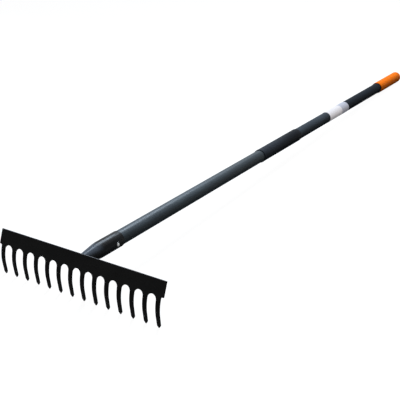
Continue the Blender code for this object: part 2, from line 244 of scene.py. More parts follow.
def grain(tree, place, size, detail, stretch=(1, 1, 1)):
    """Noise with blotches of about this size in metres, drawn out where stretch is above 1."""
    drawn = wire(tree, "Mapping", {"Vector": place, "Scale": [1 / s for s in stretch]})
    noise = wire(tree, "TexNoise", {"Vector": drawn.outputs["Vector"], "Scale": 1 / size,
                                    "Detail": detail, "Roughness": GRAIN_ROUGHNESS})
    return noise.outputs["Fac"]


# %% [markdown]
# The next helpers are the arithmetic of a finish. A span turns one range into another, and noise,
# which mostly keeps to a middle range, has a span of its own. Colours and numbers are blended, and
# grain is added in shares. The Mix node has sockets of the same name for numbers and for colours,
# so they are picked by their places: 2 and 3 are its numbers, 6 and 7 its colours.

# %% Spread, blend and add
NOISE_LOW, NOISE_HIGH = 0.3, 0.7


def span(tree, value, low, high, start, end):
    """Maps low..high smoothly onto start..end."""
    return wire(tree, "MapRange", {"Value": value, "From Min": low, "From Max": high,
                                   "To Min": start, "To Max": end},
                interpolation_type="SMOOTHSTEP").outputs["Result"]


def spread_noise(tree, noise, start, end):
    return span(tree, noise, NOISE_LOW, NOISE_HIGH, start, end)


def blend_numbers(tree, amount, first, second):
    return wire(tree, "Mix", {0: amount, 2: first, 3: second}).outputs[0]


def blend_colours(tree, amount, first, second):
    """Each colour is a node's output, or red, green and blue."""
    first, second = (colour if isinstance(colour, bpy.types.NodeSocket) else (*colour, 1)
                     for colour in (first, second))
    return wire(tree, "Mix", {0: amount, 6: first, 7: second}, data_type="RGBA").outputs[2]


def multiply(tree, first, second):
    return wire(tree, "Math", {0: first, 1: second}, operation="MULTIPLY").outputs[0]


def add_up(tree, first, second, share=1.0):
    """first plus share times second."""
    return wire(tree, "Math", {0: second, 1: share, 2: first}, operation="MULTIPLY_ADD").outputs[0]


# %% [markdown]
# Two things are the same on most coats. The upper side is handled and wiped, while the underside
# is polished by nothing and goes dull. And each coat has a little relief. That is a bump on the
# shader, because grain of a few hundredths of a millimetre would take millions of faces.

# %% Undersides and bumps
UNDERSIDE, UPPER_SIDE = -0.004, 0.006
DULL = 0.95


def part_of(tree, place, axis):
    """X across the handle, Y along it from the head, or Z above its axis."""
    return wire(tree, "SeparateXYZ", {0: place}).outputs[axis]


def up_the_side(tree, place, start, end):
    """From start on the underside to end above the axis."""
    return span(tree, part_of(tree, place, "Z"), UNDERSIDE, UPPER_SIDE, start, end)


def dull_below(tree, place, rough):
    return blend_numbers(tree, up_the_side(tree, place, 1, 0), rough, DULL)


def coat_with(tree, coat, colour, rough, bumps, depth):
    """Links colour, roughness, and bumps that are this deep in metres, to the shader."""
    bump = wire(tree, "Bump", {"Height": bumps, "Distance": depth, "Strength": 1.0})
    tree.links.new(colour, coat.inputs["Base Color"])
    tree.links.new(rough, coat.inputs["Roughness"])
    tree.links.new(bump.outputs["Normal"], coat.inputs["Normal"])


# %% [markdown]
# ## Black paint
# The head, the weld and the socket wear a black stove paint. It is never one flat black: it dries
# a little cloudy, has the fine peel of a sprayed coat, and keeps some dust. Each piece also has
# its own painted light and shade in its own places, and the head its own wear too, so these are a
# helper for each piece that the paint calls. Some of the places are found along the bar, so the
# way the bar leans comes first.

# %% How the bar leans
LEAN = math.radians(19.5)
AXIS_DROP = 0.0149
DOWN_BAR = Vector((0, -math.sin(LEAN), -math.cos(LEAN)))
BEHIND_BAR = Vector((0, math.cos(LEAN), -math.sin(LEAN)))
BAR_TOP = Vector((0, 0, AXIS_DROP))
print("the bar's top lies", round(1000 * BAR_TOP.z, 1), "mm above the handle's axis")

# %% [markdown]
# On the head, the tines below the bar are a deeper black, which is painted shade. The bar's upper
# edge has a grey line, which is a painted highlight, and the points of the tines, which meet the
# ground, show specks of the same grey, which is wear.

# %% Wear and painted light on the head
TINES_BELOW, TINES_FADE = -0.0115, 0.0120
WORN_BELOW, WORN_FADE = -0.0625, 0.0065
TOP_EDGE, TOP_EDGE_ENDS = 0.0004, 0.0007
TINE_PAINTED_SHADE = (0.0080, 0.0080, 0.0081)
GREY_HIGHLIGHT_AND_WEAR = (0.110, 0.110, 0.115)


def head_wear_and_painted_light(tree, place, colour, rough):
    height = part_of(tree, place, "Z")
    # Painted shade: the tines below the bar are a deeper black.
    tines = span(tree, height, TINES_BELOW - TINES_FADE, TINES_BELOW, 1, 0)
    colour = blend_colours(tree, tines, colour, TINE_PAINTED_SHADE)
    # Painted highlight: a grey line along the bar's upper edge. The same grey in specks at the
    # tine points is wear.
    depth = wire(tree, "VectorMath", {0: place, 1: DOWN_BAR},
                 operation="DOT_PRODUCT").outputs["Value"]
    top = DOWN_BAR.dot(BAR_TOP)
    edge = span(tree, depth, top + TOP_EDGE, top + TOP_EDGE_ENDS, 1, 0)
    colour = blend_colours(tree, edge, colour, GREY_HIGHLIGHT_AND_WEAR)
    low = span(tree, height, WORN_BELOW - WORN_FADE, WORN_BELOW, 1, 0)
    fleck = span(tree, grain(tree, place, size=0.0007, detail=4),
                 low=0.56, high=0.66, start=0, end=0.5)
    return blend_colours(tree, multiply(tree, low, fleck), colour, GREY_HIGHLIGHT_AND_WEAR), rough


# %% [markdown]
# The socket has more gloss. Its nose was stretched by the drawing, so it is smoother, and the
# nose's upper side is painted lighter, as a painted highlight. Its underside is dull.

# %% Painted highlight and gloss on the socket
NOSE_ENDS, NOSE_FADE = 0.045, 0.010
NOSE_HIGHLIGHT_FROM, NOSE_HIGHLIGHT_FULL = 0.001, 0.008
NOSE_HIGHLIGHT = (0.066, 0.076, 0.092)
NOSE_ROUGH = 0.25


def socket_highlight_and_gloss(tree, place, colour, rough):
    nose = span(tree, part_of(tree, place, "Y"), NOSE_ENDS - NOSE_FADE, NOSE_ENDS + NOSE_FADE,
                1, 0)
    # Painted highlight: the nose's upper side is painted lighter.
    on_top = span(tree, part_of(tree, place, "Z"), NOSE_HIGHLIGHT_FROM, NOSE_HIGHLIGHT_FULL, 0, 1)
    colour = blend_colours(tree, multiply(tree, nose, on_top), colour, NOSE_HIGHLIGHT)
    rough = blend_numbers(tree, nose, rough, NOSE_ROUGH)
    return colour, dull_below(tree, place, rough)


# %% Black paints
def black_paint(name, dark, light, smooth_at, rough_at, gloss, wear_and_light):
    material, tree, coat, place = new_finish(name)
    cloud = grain(tree, place, size=0.035, detail=4)
    peel = grain(tree, place, size=0.0011, detail=2)
    dust = grain(tree, place, size=0.0045, detail=5)
    colour = blend_colours(tree, spread_noise(tree, cloud, 0, 1), dark, light)
    rough = add_up(tree, spread_noise(tree, cloud, smooth_at, rough_at), dust, share=0.06)
    colour, rough = wear_and_light(tree, place, colour, rough)
    coat_with(tree, coat, colour, rough, add_up(tree, peel, dust, share=0.3), depth=0.000018)
    coat.inputs["Specular IOR Level"].default_value = gloss
    return material


HEAD_BLACK = black_paint("matt_black", dark=(0.016, 0.016, 0.0162), light=(0.022, 0.022, 0.0223),
                         smooth_at=0.46, rough_at=0.56, gloss=0.02, wear_and_light=head_wear_and_painted_light)
SOCKET_BLACK = black_paint("satin_black", dark=(0.003, 0.0033, 0.004),
                           light=(0.005, 0.0055, 0.0065),
                           smooth_at=0.31, rough_at=0.35, gloss=0.052, wear_and_light=socket_highlight_and_gloss)
print("black paints:", HEAD_BLACK.name, SOCKET_BLACK.name)

# %% [markdown]
# ## Slate coats
# Both tubes wear a slate-grey coat with a satin sheen, the upper one a little darker, which is
# painted shade. The sheen is in the roughness. Long faint rubs follow the tube, because hands and
# the packing slide along it, so that noise is drawn out many times along the handle. In the
# photograph each coat also grows darker towards the grip, and that is painted shade too. A second
# colour that fades in along Y gives it without another lamp, which would change all the other
# pieces too.

# %% Slate coats for the tubes
def fade_along(tree, place, colour, start, end, far_colour):
    """Fades to the far colour between these two stations along the handle."""
    # Painted shade: the far colour is darker where the light falls off along the handle.
    beyond = span(tree, part_of(tree, place, "Y"), start, end, 0, 1)
    return blend_colours(tree, beyond, colour, far_colour)


def slate_coat(name, dark, light, smooth_at, rough_at, gloss, fade):
    material, tree, coat, place = new_finish(name)
    cloud = grain(tree, place, size=0.06, detail=4)
    peel = grain(tree, place, size=0.0009, detail=2)
    rub = grain(tree, place, size=0.0012, detail=3, stretch=(1, 60, 1))
    colour = blend_colours(tree, spread_noise(tree, cloud, 0, 1), dark, light)
    colour = fade_along(tree, place, colour, **fade)
    rubbed = span(tree, rub, low=0.60, high=0.72, start=0, end=0.05)
    rough = add_up(tree, spread_noise(tree, cloud, smooth_at, rough_at), rubbed)
    coat_with(tree, coat, colour, dull_below(tree, place, rough),
              add_up(tree, peel, rub, share=0.25), depth=0.000015)
    coat.inputs["Specular IOR Level"].default_value = gloss
    return material


LOWER_SLATE = slate_coat("slate_grey", dark=(0.039, 0.049, 0.057), light=(0.047, 0.059, 0.067),
                         smooth_at=0.37, rough_at=0.43, gloss=0.058,
                         fade=dict(start=0.30, end=0.60, far_colour=(0.030, 0.038, 0.043)))
# Painted shade: the upper coat is a little darker than the lower one.
UPPER_SLATE = slate_coat("slate_in_painted_shade", dark=(0.032, 0.038, 0.044), light=(0.037, 0.044, 0.051),
                         smooth_at=0.34, rough_at=0.40, gloss=0.005,
                         fade=dict(start=1.02, end=1.10, far_colour=(0.0125, 0.0155, 0.0195)))
print("slate coats:", LOWER_SLATE.name, UPPER_SLATE.name)

# %% [markdown]
# ## Moulded plastics
# The sleeve and the grip are moulded. A mould is spark-etched, which leaves a fine even grain, and
# its two halves leave a hair-thin line along each side. The line is a narrow ridge at the height
# of the axis, read from the handle's own Z, so it only shows on the sides. It is a bump too, being
# thinner than any face here. The sleeve darkens towards the grip as the tubes do, which is painted
# shade.

# %% Moulded plastics
SEAM_WIDTH, SEAM_RIDGE = 0.0003, 4


def moulded(name, dark, light, smooth_at, rough_at, gloss, fade=None):
    material, tree, coat, place = new_finish(name)
    cloud = grain(tree, place, size=0.03, detail=4)
    etch = grain(tree, place, size=0.0006, detail=3)
    grime = grain(tree, place, size=0.008, detail=6, stretch=(1, 3, 1))
    colour = blend_colours(tree, spread_noise(tree, cloud, 0, 1), dark, light)
    if fade is not None:
        colour = fade_along(tree, place, colour, **fade)
    rough = add_up(tree, spread_noise(tree, cloud, smooth_at, rough_at), grime, share=0.08)
    from_seam = wire(tree, "Math", {0: part_of(tree, place, "Z")}, operation="ABSOLUTE").outputs[0]
    seam = span(tree, from_seam, 0, SEAM_WIDTH, SEAM_RIDGE, 0)
    coat_with(tree, coat, colour, dull_below(tree, place, rough),
              add_up(tree, etch, seam), depth=0.00002)
    coat.inputs["Specular IOR Level"].default_value = gloss
    return material


SLEEVE_GREY = moulded("sleeve_grey", dark=(0.019, 0.022, 0.027), light=(0.024, 0.028, 0.034),
                      smooth_at=0.34, rough_at=0.42, gloss=0.012,
                      fade=dict(start=0.66, end=0.80, far_colour=(0.0095, 0.011, 0.0132)))
GRIP_ORANGE = moulded("grip_orange", dark=(0.68, 0.133, 0.005), light=(0.73, 0.149, 0.008),
                      smooth_at=0.42, rough_at=0.52, gloss=0.020)
print("moulded plastics:", SLEEVE_GREY.name, GRIP_ORANGE.name)

# %% [markdown]
# ## White film
# The film round the upper tube is white with one plain grey band at its far end. It was stuck on
# by hand, so it has a few soft creases along the tube, and its gloss changes over them. A faint
# glow in the film's colour is painted light that lifts it towards white. It is weaker below, so
# the top is painted lighter than the underside. A paler colour would reach that white as well,
# but then the lit top would be burnt out.

# %% White film
FILM_GLOSS = 0.006
BAND_FROM, BAND_EDGE = 1.0765, 0.0003
PAPER_DARK, PAPER_LIGHT = (0.278, 0.265, 0.268), (0.302, 0.288, 0.291)
BAND_DARK, BAND_LIGHT = (0.198, 0.200, 0.224), (0.224, 0.226, 0.252)
PAPER_GLOW, BAND_GLOW = (0.400, 0.384, 0.392), (0.212, 0.214, 0.240)
GLOW_BELOW = 0.5


def white_film():
    material, tree, coat, place = new_finish("white_film")
    fibre = grain(tree, place, size=0.0018, detail=4)
    crease = grain(tree, place, size=0.006, detail=2, stretch=(1, 8, 1))
    paper = blend_colours(tree, fibre, PAPER_DARK, PAPER_LIGHT)
    ink = blend_colours(tree, fibre, BAND_DARK, BAND_LIGHT)
    band = span(tree, part_of(tree, place, "Y"), BAND_FROM - BAND_EDGE, BAND_FROM + BAND_EDGE,
                0, 1)
    coat_with(tree, coat, blend_colours(tree, band, paper, ink),
              spread_noise(tree, crease, start=0.30, end=0.42),
              add_up(tree, crease, fibre, share=0.1), depth=0.00006)
    coat.inputs["Specular IOR Level"].default_value = FILM_GLOSS
    # Painted light: the film glows in its own colour, weaker below, so its top is painted lighter.
    glow = blend_colours(tree, band, PAPER_GLOW, BAND_GLOW)
    painted_glow_share = up_the_side(tree, place, GLOW_BELOW, 1)
    tree.links.new(blend_colours(tree, painted_glow_share, (0, 0, 0), glow), coat.inputs["Emission Color"])
    coat.inputs["Emission Strength"].default_value = 1.0
    return material


WHITE_FILM = white_film()
print("film:", WHITE_FILM.name)

# %% [markdown]
# ## Bare metals
# The spigot and its pins, which hide under the sleeve, are bare. Drawn steel has fine streaks
# along its length, so its noise is drawn out that way.

# %% Drawn steel
def bare_metal(name, dark, light, smooth_at, rough_at, stretch):
    material, tree, coat, place = new_finish(name)
    cloud = grain(tree, place, size=0.006, detail=4)
    streak = grain(tree, place, size=0.0005, detail=4, stretch=stretch)
    coat_with(tree, coat, blend_colours(tree, cloud, dark, light),
              spread_noise(tree, streak, smooth_at, rough_at), streak, depth=0.00002)
    coat.inputs["Metallic"].default_value = 1.0
    return material


DRAWN_STEEL = bare_metal("drawn_steel", dark=(0.42, 0.42, 0.44), light=(0.58, 0.58, 0.60),
                         smooth_at=0.30, rough_at=0.42, stretch=(1, 40, 1))
PIN_STEEL = bare_metal("pin_steel", dark=(0.30, 0.30, 0.32), light=(0.46, 0.46, 0.48),
                       smooth_at=0.28, rough_at=0.40, stretch=(20, 1, 1))
print("bare metals:", DRAWN_STEEL.name, PIN_STEEL.name)

# %% [markdown]
# The rivet is painted with the socket. A bright metal spot on its crown is a painted highlight,
# and black paint stays round the rim and low down. The spot is soft and round, a little above the
# rivet's middle and towards the head. How far a point is from it is measured with X left out,
# which is the rivet's own direction, so that both heads get the same spot.

# %% The rivet's painted highlight
CROWN = (0, RIVET_STATION - 0.0005, 0.0013)
HIGHLIGHT_WITHIN, HIGHLIGHT_BEYOND = 0.0014, 0.0036
RIVET_PAINT = (0.010, 0.010, 0.010)
HIGHLIGHT_DARK, HIGHLIGHT_LIGHT = (0.30, 0.30, 0.295), (0.42, 0.42, 0.415)


def rivet_painted_highlight():
    material, tree, coat, place = new_finish("rivet_painted_highlight")
    fleck = grain(tree, place, size=0.0005, detail=4)
    flat = wire(tree, "VectorMath", {0: place, 1: (0, 1, 1)}, operation="MULTIPLY")
    from_crown = wire(tree, "VectorMath", {0: flat.outputs["Vector"], 1: CROWN},
                      operation="DISTANCE").outputs["Value"]
    # Painted highlight: a bright spot a little above the rivet's middle, with black paint round
    # it.
    highlight = span(tree, from_crown, HIGHLIGHT_WITHIN, HIGHLIGHT_BEYOND, 1, 0)
    highlight_colour = blend_colours(tree, fleck, HIGHLIGHT_DARK, HIGHLIGHT_LIGHT)
    coat_with(tree, coat, blend_colours(tree, highlight, RIVET_PAINT, highlight_colour),
              spread_noise(tree, fleck, start=0.30, end=0.38), fleck, depth=0.00002)
    coat.inputs["Metallic"].default_value = 1.0
    return material


HIGHLIGHTED_RIVET = rivet_painted_highlight()
print("rivet's finish:", HIGHLIGHTED_RIVET.name)

# %% [markdown]
# ## The pieces
# Every piece is made along the straight handle. It is then merged, its faces are turned outwards,
# and it is laid down, named, and compared with the box of the measured node it stands for, which
# is hidden. Faces are shaded smooth, and only edges sharper than the crease angle stay sharp.

# %% Finish a piece
SAME_PLACE = 1e-6


def finish_piece(form, name, node, material, crease=35):
    """Lays the mesh down, makes the object, and says how far it is from the node's box."""
    bmesh.ops.remove_doubles(form, verts=form.verts, dist=SAME_PLACE)
    bmesh.ops.recalc_face_normals(form, faces=form.faces)
    bmesh.ops.transform(form, matrix=LAY_DOWN, verts=form.verts)
    loose = sum(not edge.is_manifold for edge in form.edges)
    mesh = bpy.data.meshes.new(name)
    form.to_mesh(mesh)
    form.free()
    mesh.shade_smooth()
    mesh.set_sharp_from_angle(angle=math.radians(crease))
    mesh.materials.append(material)
    piece = bpy.data.objects.new(name, mesh)
    scene.collection.objects.link(piece)
    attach(piece, "root")
    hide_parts(node)
    corners = [Vector(corner) for corner in piece.bound_box]
    box = [Vector(pick(sides) for sides in zip(*corners)) for pick in (min, max)]
    off = max(abs(v) for mine, theirs in zip(box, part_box(node)) for v in mine - theirs)
    print(f"{name}: {len(mesh.polygons)} faces, {loose} open edges, "
          f"{1000 * off:.2f} mm off its node")


# %% [markdown]
# ## The head
# A real head is cut from flat sheet, its edges are tumbled, and a press curls the tines. The mesh
# goes the same way. One vertex is drawn along the outline like a pen: it is extruded along the
# straights and spun round the arches. The closed outline is filled and extruded to the sheet's
# thickness, its edges are rounded, and it is sliced across so that it can bend. Making each tine
# from a box would leave a joint at every root, in a sheet that has none. The tines are drawn up to
# 0.3 mm wider on each side than the measured ones, as the photograph shows that much more of them.

# %% The head's sizes
BAR_WIDTH, BAR_HEIGHT, SHEET = 0.360, 0.028, 0.0025
TINES = 14
TINE_REACH = 0.0592
TINE_ROOT, TINE_END = 0.0087, 0.0074
POINT_LENGTH, POINT_WIDTH = 0.0045, 0.0020
ARCH_BITE = 0.0013
END_STEP, STEP_RADIUS = 0.00535, 0.0028
BAR_CORNER = 0.0012
CURL, CURL_LENGTH = math.radians(28.8), 0.037
PITCH = (BAR_WIDTH - 2 * END_STEP - TINE_ROOT) / (TINES - 1)
print("tines every", round(1000 * PITCH, 2), "mm")


# %% A pen for the flat sheet
def verts_in(items):
    return [item for item in items if isinstance(item, bmesh.types.BMVert)]


class Pen:
    """Draws with one vertex in the flat sheet: x across it, and depth below the bar's top."""

    def __init__(self, form, x, depth):
        self.form = form
        self.tip = form.verts.new((x, -depth, 0))

    def line_to(self, x, depth):
        self.tip = bmesh.ops.extrude_vert_indiv(self.form, verts=[self.tip])["verts"][0]
        self.tip.co = (x, -depth, 0)

    def turn_round(self, x, depth, degrees, steps):
        """Carries on along an arc round (x, depth), against the clock if degrees are above 0."""
        swept = bmesh.ops.spin(self.form, geom=[self.tip], cent=(x, -depth, 0), axis=(0, 0, 1),
                               dvec=(0, 0, 0), angle=math.radians(degrees), steps=steps)
        self.tip = verts_in(swept["geom_last"])[0]


# %% The outline, drawn flat
CORNER_FACETS, STEP_FACETS, ARCH_FACETS = 5, 8, 36


def draw_tine(pen, middle):
    """From the pen's place down the left side, across the blunt point and up the right side."""
    tip = BAR_HEIGHT + TINE_REACH
    pen.line_to(middle - TINE_END / 2, tip - POINT_LENGTH)
    pen.line_to(middle - POINT_WIDTH / 2, tip)
    pen.line_to(middle + POINT_WIDTH / 2, tip)
    pen.line_to(middle + TINE_END / 2, tip - POINT_LENGTH)


def draw_outline(form):
    """Down the left end, along the tines and arches, up the right end and back along the top."""
    edge = BAR_WIDTH / 2
    outer_side = edge - END_STEP
    step_spring = BAR_HEIGHT + STEP_RADIUS
    arch_spring = BAR_HEIGHT - ARCH_BITE + (PITCH - TINE_ROOT) / 2
    pen = Pen(form, -edge + BAR_CORNER, 0)
    pen.turn_round(-edge + BAR_CORNER, BAR_CORNER, 90, CORNER_FACETS)
    pen.line_to(-edge, BAR_HEIGHT - BAR_CORNER)
    pen.turn_round(-edge + BAR_CORNER, BAR_HEIGHT - BAR_CORNER, 90, CORNER_FACETS)
    pen.line_to(-outer_side - STEP_RADIUS, BAR_HEIGHT)
    pen.turn_round(-outer_side - STEP_RADIUS, step_spring, -90, STEP_FACETS)
    for i in range(TINES):
        middle = (i - (TINES - 1) / 2) * PITCH
        draw_tine(pen, middle)
        if i < TINES - 1:
            pen.line_to(middle + TINE_ROOT / 2, arch_spring)
            pen.turn_round(middle + PITCH / 2, arch_spring, -180, ARCH_FACETS)
    pen.line_to(outer_side, step_spring)
    pen.turn_round(outer_side + STEP_RADIUS, step_spring, -90, STEP_FACETS)
    pen.line_to(edge - BAR_CORNER, BAR_HEIGHT)
    pen.turn_round(edge - BAR_CORNER, BAR_HEIGHT - BAR_CORNER, 90, CORNER_FACETS)
    pen.line_to(edge, BAR_CORNER)
    pen.turn_round(edge - BAR_CORNER, BAR_CORNER, 90, CORNER_FACETS)
    pen.line_to(-edge + BAR_CORNER, 0)
    bmesh.ops.remove_doubles(form, verts=form.verts, dist=SAME_PLACE)
    print("the outline has", len(form.edges), "edges")


# %% [markdown]
# The press bends each tine along one arc that starts at the bar's lower edge. A point of the flat
# sheet is followed along that arc, and past it along a straight, so every tine keeps its length.
# A Simple Deform modifier bends too, but its arc is set by an angle over the whole mesh, and this
# one is known by its own angle and length.

# %% The sheet and its curl
SHEET_ROUNDING = 0.0004
CURL_SLICES = 20


def curl(co):
    """Where a point of the flat sheet goes: x across, -y down the bar, z through the sheet."""
    below = max(-co.y - BAR_HEIGHT, 0)
    bend_radius = CURL_LENGTH / CURL
    turn = min(below / bend_radius, CURL)
    straight = max(below - CURL_LENGTH, 0)
    down = min(-co.y, BAR_HEIGHT) + bend_radius * math.sin(turn) + straight * math.cos(turn)
    back = bend_radius * (1 - math.cos(turn)) + straight * math.sin(turn)
    through = BEHIND_BAR * math.cos(turn) - DOWN_BAR * math.sin(turn)
    place = BAR_TOP + DOWN_BAR * down + BEHIND_BAR * back + through * co.z
    return Vector((co.x, place.y, place.z))


def all_of(form):
    return form.verts[:] + form.edges[:] + form.faces[:]


def make_head():
    form = bmesh.new()
    draw_outline(form)
    bmesh.ops.edgeloop_fill(form, edges=form.edges[:])
    raised = bmesh.ops.extrude_face_region(form, geom=form.faces[:])["geom"]
    bmesh.ops.translate(form, vec=(0, 0, SHEET), verts=verts_in(raised))
    bmesh.ops.recalc_face_normals(form, faces=form.faces)
    rim = [edge for edge in form.edges
           if abs(edge.verts[0].co.z - edge.verts[1].co.z) < SAME_PLACE]
    bmesh.ops.bevel(form, geom=rim, offset=SHEET_ROUNDING, offset_type="OFFSET", affect="EDGES",
                    segments=3, profile=0.5, material=-1)
    for i in range(CURL_SLICES + 1):
        level = BAR_HEIGHT + CURL_LENGTH * i / CURL_SLICES
        bmesh.ops.bisect_plane(form, geom=all_of(form), dist=SAME_PLACE,
                               plane_co=(0, -level, 0), plane_no=(0, 1, 0))
    for vert in form.verts:
        vert.co = curl(vert.co)
    finish_piece(form, "head", "rake_head", HEAD_BLACK)


make_head()

# %% [markdown]
# ## The turned pieces
# Most of the rake is turned: a line of radii and stations is spun round the handle's axis.
# `bmesh.ops.spin` does that, and ring edges are rounded afterwards with `bmesh.ops.bevel`, which
# is how a press or a mould leaves them. The tube's size sets all the others, because the socket,
# the sleeve and the grip slide over it with the same small gap.

# %% Turn a line and round its rings
TUBE_RADIUS, TUBE_BORE = 0.0140, 0.0128
FIT_GAP, REST_GAP = 0.0002, 0.0003
OVER_TUBE = TUBE_RADIUS + FIT_GAP
TURN_FACETS = 96
print("the tube's outside is", round(2000 * TUBE_RADIUS, 1), "mm across")


def turn_line(form, points, steps=TURN_FACETS, closed=True):
    """Spins a line of (radius, station) points once round the handle's axis."""
    line = [form.verts.new((radius, station, 0)) for radius, station in points]
    pairs = zip(line, line[1:] + line[:1] if closed else line[1:])
    edges = [form.edges.new(pair) for pair in pairs]
    bmesh.ops.spin(form, geom=line + edges, cent=(0, 0, 0), axis=(0, 1, 0), dvec=(0, 0, 0),
                   angle=math.tau, steps=steps, use_merge=True)
    bmesh.ops.remove_doubles(form, verts=form.verts, dist=SAME_PLACE)


def round_ring(form, radius, station, width, segments=3):
    """Bevels the ring edge that lies at this radius and station."""
    near = 2e-5

    def on_ring(vert):
        return (abs(math.hypot(vert.co.x, vert.co.z) - radius) < near
                and abs(vert.co.y - station) < near)
    ring = [edge for edge in form.edges if all(on_ring(vert) for vert in edge.verts)]
    bmesh.ops.bevel(form, geom=ring, offset=width, offset_type="OFFSET", affect="EDGES",
                    segments=segments, profile=0.5, material=-1, clamp_overlap=True)


# %% [markdown]
# ## The socket and what holds it
# The socket is a tube drawn down to a narrow nose, with a soft shoulder between the two. A plane
# that leans with the bar trims the nose, and the two rings that the cut leaves are bridged, so the
# tube has a wall.

# %% The socket's sizes
SOCKET_WALL = 0.0010
SOCKET_RADIUS = OVER_TUBE + SOCKET_WALL
SOCKET_TAPER, SOCKET_LENGTH, SOFT_TURN = 0.0480, 0.1060, 0.0070
NOSE_RADIUS = 0.0086
BAR_BACK = Vector((0, (SHEET - math.sin(LEAN) * AXIS_DROP) / math.cos(LEAN), 0))
print("the bar's back crosses the axis at", round(1000 * BAR_BACK.y, 2), "mm")


def cone_radius(station):
    return NOSE_RADIUS + (SOCKET_RADIUS - NOSE_RADIUS) * station / SOCKET_TAPER


def shoulder_line(inset, steps=10):
    """The soft turn between the straight socket and its taper, towards the nose."""
    upper = Vector((SOCKET_RADIUS, SOCKET_TAPER + SOFT_TURN))
    turn = Vector((SOCKET_RADIUS, SOCKET_TAPER))
    lower = Vector((cone_radius(SOCKET_TAPER - SOFT_TURN), SOCKET_TAPER - SOFT_TURN))
    line = [upper.lerp(turn, i / steps).lerp(turn.lerp(lower, i / steps), i / steps)
            for i in range(steps + 1)]
    return [(point.x - inset, point.y) for point in line]


# %% The socket
SOCKET_MIDDLE, SOCKET_ROUNDING = 0.0760, 0.0004
NOSE_SPARE = 0.010


def trim_at_bar(form):
    """Cuts off what lies before the bar's back, and bridges the two rings that the cut leaves."""
    bmesh.ops.bisect_plane(form, geom=all_of(form), dist=1e-7, plane_co=BAR_BACK,
                           plane_no=BEHIND_BAR, clear_inner=True)
    bmesh.ops.bridge_loops(form, edges=[edge for edge in form.edges if edge.is_boundary])


def make_socket():
    form = bmesh.new()
    nose = BAR_BACK.y - NOSE_SPARE
    outside = [(SOCKET_RADIUS, SOCKET_LENGTH), (SOCKET_RADIUS, SOCKET_MIDDLE)]
    outside += shoulder_line(0) + [(cone_radius(nose), nose)]
    inside = [(cone_radius(nose) - SOCKET_WALL, nose)] + shoulder_line(SOCKET_WALL)[::-1]
    inside += [(OVER_TUBE, SOCKET_LENGTH)]
    turn_line(form, outside + inside)
    round_ring(form, SOCKET_RADIUS, SOCKET_LENGTH, SOCKET_ROUNDING)
    trim_at_bar(form)
    finish_piece(form, "socket", "head_socket", SOCKET_BLACK)


make_socket()

# %% [markdown]
# A bead of weld runs round the nose. It is a ring whose thickness comes and goes, the way a
# welder's hand moves on. A circle spun on a ring is a plain torus, so each of its points is then
# moved a little from or towards the bead's core, with one short wave for the ripples and one long
# wave for the hand. The bar's back trims it as it trims the socket.

# %% The weld bead
BEAD_RADIUS, BEAD_SIDES, BEAD_OFF = 0.0019, 12, 0.0005
RIPPLES, RIPPLE_STEPS, RIPPLE_SWELL = 30, 8, 0.07
HAND_WAVES, HAND_SWELL = 5, 0.03


def make_weld():
    form = bmesh.new()
    core_radius = cone_radius(BAR_BACK.y) + BEAD_OFF
    bmesh.ops.create_circle(form, segments=BEAD_SIDES, radius=BEAD_RADIUS)
    bmesh.ops.rotate(form, verts=form.verts, matrix=Matrix.Rotation(math.pi / 2, 3, "X"))
    bmesh.ops.translate(form, verts=form.verts, vec=(core_radius, 0, 0))
    bmesh.ops.spin(form, geom=form.verts[:] + form.edges[:], cent=(0, 0, 0), axis=(0, 0, 1),
                   dvec=(0, 0, 0), angle=math.tau, steps=RIPPLES * RIPPLE_STEPS, use_merge=True)
    for vert in form.verts:
        angle = math.atan2(vert.co.y, vert.co.x)
        core = Vector((math.cos(angle), math.sin(angle), 0)) * core_radius
        swell = (1 + RIPPLE_SWELL * math.sin(RIPPLES * angle)
                 + HAND_SWELL * math.sin(HAND_WAVES * angle))
        vert.co = core + (vert.co - core) * swell
    bmesh.ops.scale(form, verts=form.verts, vec=(1, 1 / math.cos(LEAN), 1))
    seat = (Matrix.Translation(BAR_BACK + BEHIND_BAR * BEAD_OFF)
            @ Matrix.Rotation(-math.pi / 2 - LEAN, 4, "X"))
    bmesh.ops.transform(form, matrix=seat, verts=form.verts)
    trim_at_bar(form)
    finish_piece(form, "weld_bead", "socket_weld", HEAD_BLACK, crease=60)


make_weld()

# %% [markdown]
# The rivet goes right through socket and tube. Its heads are domed, and a thin skirt under each
# dome follows the round socket, where the press has seated it. Half of its outline is written
# down, mirrored, turned as one open line that starts and ends on its own axis, and then turned
# across the handle.

# %% The rivet
RIVET_HEAD, RIVET_SHANK = 0.0040, 0.0024
DOME_HEIGHT, RIM_HEIGHT = 0.0018, 0.0004
SKIRT_DEPTH, SKIRT_FOOT, SKIRT_INSET = 0.0006, 0.0009, 0.0003


def make_rivet():
    form = bmesh.new()
    seat = SOCKET_RADIUS + REST_GAP
    arc = [math.radians(degrees) for degrees in range(0, 91, 9)]
    half = [(RIVET_HEAD * math.sin(a),
             seat + RIM_HEIGHT + (DOME_HEIGHT - RIM_HEIGHT) * math.cos(a)) for a in arc]
    half += [(RIVET_HEAD, seat - SKIRT_DEPTH), (RIVET_HEAD - SKIRT_INSET, seat - SKIRT_FOOT),
             (RIVET_SHANK, seat - SKIRT_FOOT)]
    mirrored = [(radius, -station) for radius, station in reversed(half)]
    turn_line(form, half + mirrored, steps=48, closed=False)
    across = Matrix.Translation((0, RIVET_STATION, 0)) @ Matrix.Rotation(math.pi / 2, 4, "Z")
    bmesh.ops.transform(form, matrix=across, verts=form.verts)
    finish_piece(form, "rivet", "socket_rivet", HIGHLIGHTED_RIVET)


make_rivet()

# %% [markdown]
# ## The handle
# Two tubes meet under the sleeve. Each is a turned line with its wall, and ring edges along it
# keep the faces short, so that they shade evenly. Their cut ends are only just broken, as a saw
# and a file leave them.

